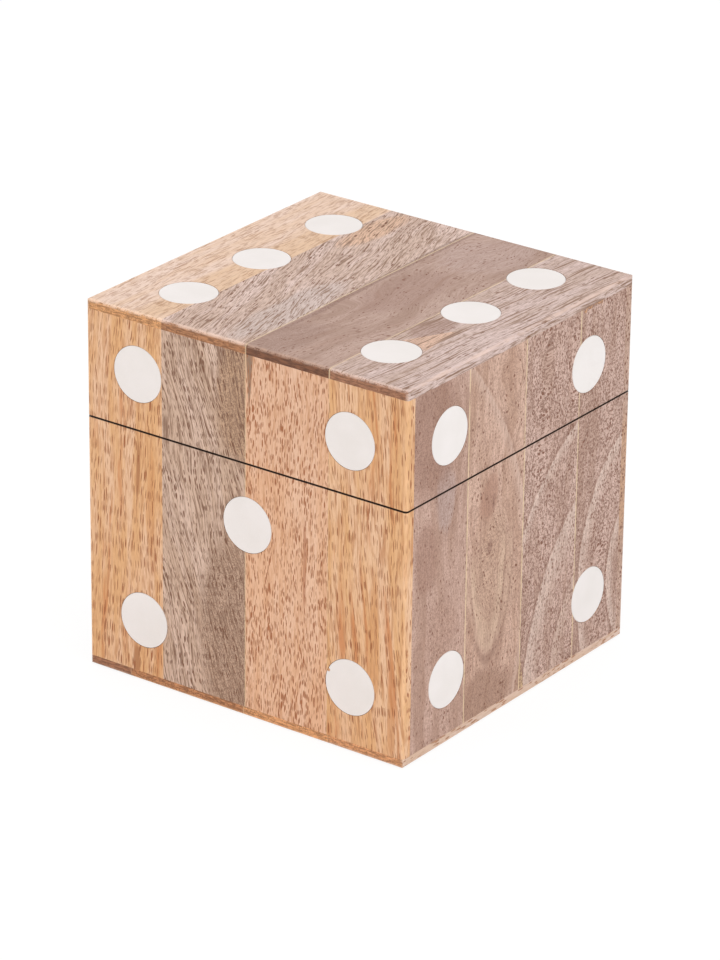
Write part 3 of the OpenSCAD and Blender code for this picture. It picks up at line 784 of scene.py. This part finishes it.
class DICEBOX_OT_strips(bpy.types.Operator):
    """Finish the wood strips of the walls, top and underside"""

    bl_idname = "dicebox.strips"
    bl_label = "Wood strips"

    def execute(self, context):
        for (face, number), look in strip_looks().items():
            if face in WALLS:
                nodes = ["%s_%s_strip_%d" % (part, face, number) for part in ("base", "lid")]
            else:
                nodes = ["%s_strip_%d" % (face, number)]
            low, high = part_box(nodes[0])
            across = ACROSS_ALONG_THROUGH[face][0]
            edges = (low[across] / MM, high[across] / MM)
            material = wood_material("wood_%s_%d" % (face, number), face, number, look, edges)
            for node in nodes:
                dress(node, material)
        return {"FINISHED"}


class DICEBOX_OT_boards(bpy.types.Operator):
    """Finish the carcass boards"""

    bl_idname = "dicebox.boards"
    bl_label = "Carcass boards"

    def execute(self, context):
        across_box, into_box = board_material(0), board_material(1)
        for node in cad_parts:
            if node.endswith("_board"):
                low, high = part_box(node)
                size = high - low
                dress(node, into_box if size.y > size.x else across_box)
        return {"FINISHED"}


class DICEBOX_OT_pips(bpy.types.Operator):
    """Make the inlaid discs"""

    bl_idname = "dicebox.pips"
    bl_label = "Inlaid pips"

    def execute(self, context):
        sizes = context.scene.dice_box_sizes
        tree = disc_tree(inlay_material(), 96)
        bodies = {"base_pips": "base", "bottom_pip": "base", "lid_pips": "lid", "top_pips": "lid"}
        for node, body in bodies.items():
            places = []
            for low, high in separate_pieces(node):
                size = high - low
                middle = (low + high) / 2
                thin = min(range(3), key=lambda i: size[i])
                facing = Vector((0, 0, 0))
                facing[thin] = math.copysign(1.0, (middle - BOX_MIDDLE)[thin])
                places.append((middle + facing * size[thin] / 2, facing))
            # The discs of one node are alike, so the last one's size serves them all
            repeat_on("inlaid_" + node, tree, places,
                      {"Radius": size[thin - 1] / 2, "Thickness": size[thin], "Easing": sizes.disc_easing},
                      body, [node])
        return {"FINISHED"}


class DICEBOX_OT_hinges(bpy.types.Operator):
    """Finish the hinges and pins, and make their screws"""

    bl_idname = "dicebox.hinges"
    bl_label = "Hinges"

    def execute(self, context):
        sizes = context.scene.dice_box_sizes
        brass = brass_material()
        for node in ("hinge_base_leaves", "hinge_lid_leaves", "hinge_pins"):
            dress(node, brass)
        tree = screw_tree(brass, 32)
        for node, body, upwards in (("hinge_base_screws", "base", 1.0), ("hinge_lid_screws", "lid", -1.0)):
            places = []
            for low, high in separate_pieces(node):
                size = high - low
                facing = Vector((0, 0, upwards))
                places.append(((low + high) / 2 + facing * size.z / 2, facing))
            # All the screws are alike, so the last one's size serves here too
            repeat_on("slotted_" + node, tree, places,
                      {"Head radius": size.x / 2, "Shank radius": sizes.screw_shank / 2,
                       "Length": size.z, "Slot width": sizes.screw_slot},
                      body, [node])
        return {"FINISHED"}


def lamp(name, place, aim, width, power, colour):
    """A square lamp at a place, turned to what it lights."""
    light = bpy.data.lights.new(name, "AREA")
    light.size = width
    light.energy = power
    light.color = colour
    body = bpy.data.objects.new(name, light)
    body.location = place
    body.rotation_mode = "QUATERNION"
    body.rotation_quaternion = (Vector(aim) - Vector(place)).to_track_quat("-Z", "Y")
    bpy.context.scene.collection.objects.link(body)


def seen_directly(recipe):
    """1 where the camera, a reflection or a view through glass meets the surface, else 0."""
    path = recipe.node("ShaderNodeLightPath").outputs
    rays = [Value(recipe, path[n]) for n in ("Is Camera Ray", "Is Glossy Ray", "Is Transmission Ray")]
    return rays[0].largest(rays[1]).largest(rays[2])


class DICEBOX_OT_stage(bpy.types.Operator):
    """Set the floor, the light and the camera"""

    bl_idname = "dicebox.stage"
    bl_label = "Stage"

    def execute(self, context):
        light = context.scene.dice_box_light
        # The floor lies a hair below the box, and most of what the camera sees of it is its own glow
        half = 3.0
        drop = 0.2 * MM
        glow_strength = 1.04
        glow_share = 0.85
        mesh = bpy.data.meshes.new("floor")
        corners = [(-half, -half, -drop), (half, -half, -drop), (half, half, -drop), (-half, half, -drop)]
        mesh.from_pydata(corners, [], [(0, 1, 2, 3)])
        paper = Recipe(bpy.data.materials.new("white_paper"))
        diffuse = paper.node("ShaderNodeBsdfDiffuse", values={"Color": (1.0, 1.0, 1.0)})
        glow = paper.node("ShaderNodeEmission", values={"Color": (1.0, 1.0, 1.0), "Strength": glow_strength})
        share = seen_directly(paper) * glow_share
        mixed = paper.node("ShaderNodeMixShader", values=[share, diffuse.outputs[0], glow.outputs[0]])
        paper.node("ShaderNodeOutputMaterial", values={"Surface": mixed.outputs[0]})
        mesh.materials.append(paper.owner)
        floor = bpy.data.objects.new("floor", mesh)
        context.scene.collection.objects.link(floor)

        world = bpy.data.worlds.new("studio")
        context.scene.world = world
        sky = Recipe(world)
        strength = seen_directly(sky) * (1.0 - light.sky) + light.sky
        background = sky.node("ShaderNodeBackground", values={
            "Color": (1.0, 1.0, 1.0), "Strength": strength})
        sky.node("ShaderNodeOutputWorld", values={"Surface": background.outputs[0]})

        middle = (0.0, 0.0, 0.065)
        lamp("overhead", (0.1, 0.0, 1.4), middle, 1.2, light.overhead, (1.0, 1.0, 1.0))
        lamp("front_left", (-0.7, -1.3, 0.6), middle, 1.0, light.left, (1.0, 0.95, 0.9))
        lamp("right_side", (1.4, -0.1, 0.5), middle, 1.0, light.right, (0.94, 0.98, 1.0))

        camera = bpy.data.cameras.new("camera")
        camera.lens = 182.9
        camera.sensor_width = 36.0
        camera.clip_end = 20.0
        seen = bpy.data.objects.new("camera", camera)
        seen.location = (0.8613, -1.1828, 0.7038)
        azimuth, elevation, roll = [math.radians(a) for a in (36.06, 23.71, 0.655)]
        forward = Vector((-math.sin(azimuth) * math.cos(elevation),
                          math.cos(azimuth) * math.cos(elevation), -math.sin(elevation)))
        seen.rotation_mode = "QUATERNION"
        seen.rotation_quaternion = forward.to_track_quat("-Z", "Y") @ Quaternion((0, 0, 1), roll)
        context.scene.collection.objects.link(seen)
        context.scene.camera = seen
        context.scene.view_settings.view_transform = "Standard"
        return {"FINISHED"}


class DICEBOX_PT_panel(bpy.types.Panel):
    """Steps that finish the dice box, in order"""

    bl_label = "Dice box"
    bl_idname = "DICEBOX_PT_panel"
    bl_space_type = "VIEW_3D"
    bl_region_type = "UI"
    bl_category = "Dice box"

    def draw(self, context):
        groups = (context.scene.dice_box_colours, context.scene.dice_box_sizes, context.scene.dice_box_light)
        for group in groups:
            for name in group.__annotations__:
                self.layout.prop(group, name)
        for step in STEPS:
            self.layout.operator("dicebox." + step)


STEPS = ("strips", "boards", "pips", "hinges", "stage")
CLASSES = (DiceBoxColours, DiceBoxSizes, DiceBoxLight, DICEBOX_OT_strips, DICEBOX_OT_boards, DICEBOX_OT_pips,
           DICEBOX_OT_hinges, DICEBOX_OT_stage, DICEBOX_PT_panel)


def register():
    for cls in CLASSES:
        bpy.utils.register_class(cls)
    bpy.types.Scene.dice_box_colours = PointerProperty(type=DiceBoxColours)
    bpy.types.Scene.dice_box_sizes = PointerProperty(type=DiceBoxSizes)
    bpy.types.Scene.dice_box_light = PointerProperty(type=DiceBoxLight)


def unregister():
    del bpy.types.Scene.dice_box_light
    del bpy.types.Scene.dice_box_sizes
    del bpy.types.Scene.dice_box_colours
    for cls in reversed(CLASSES):
        bpy.utils.unregister_class(cls)


def main():
    register()
    for step in STEPS:
        getattr(bpy.ops.dicebox, step)()


if __name__ == "__main__":
    main()
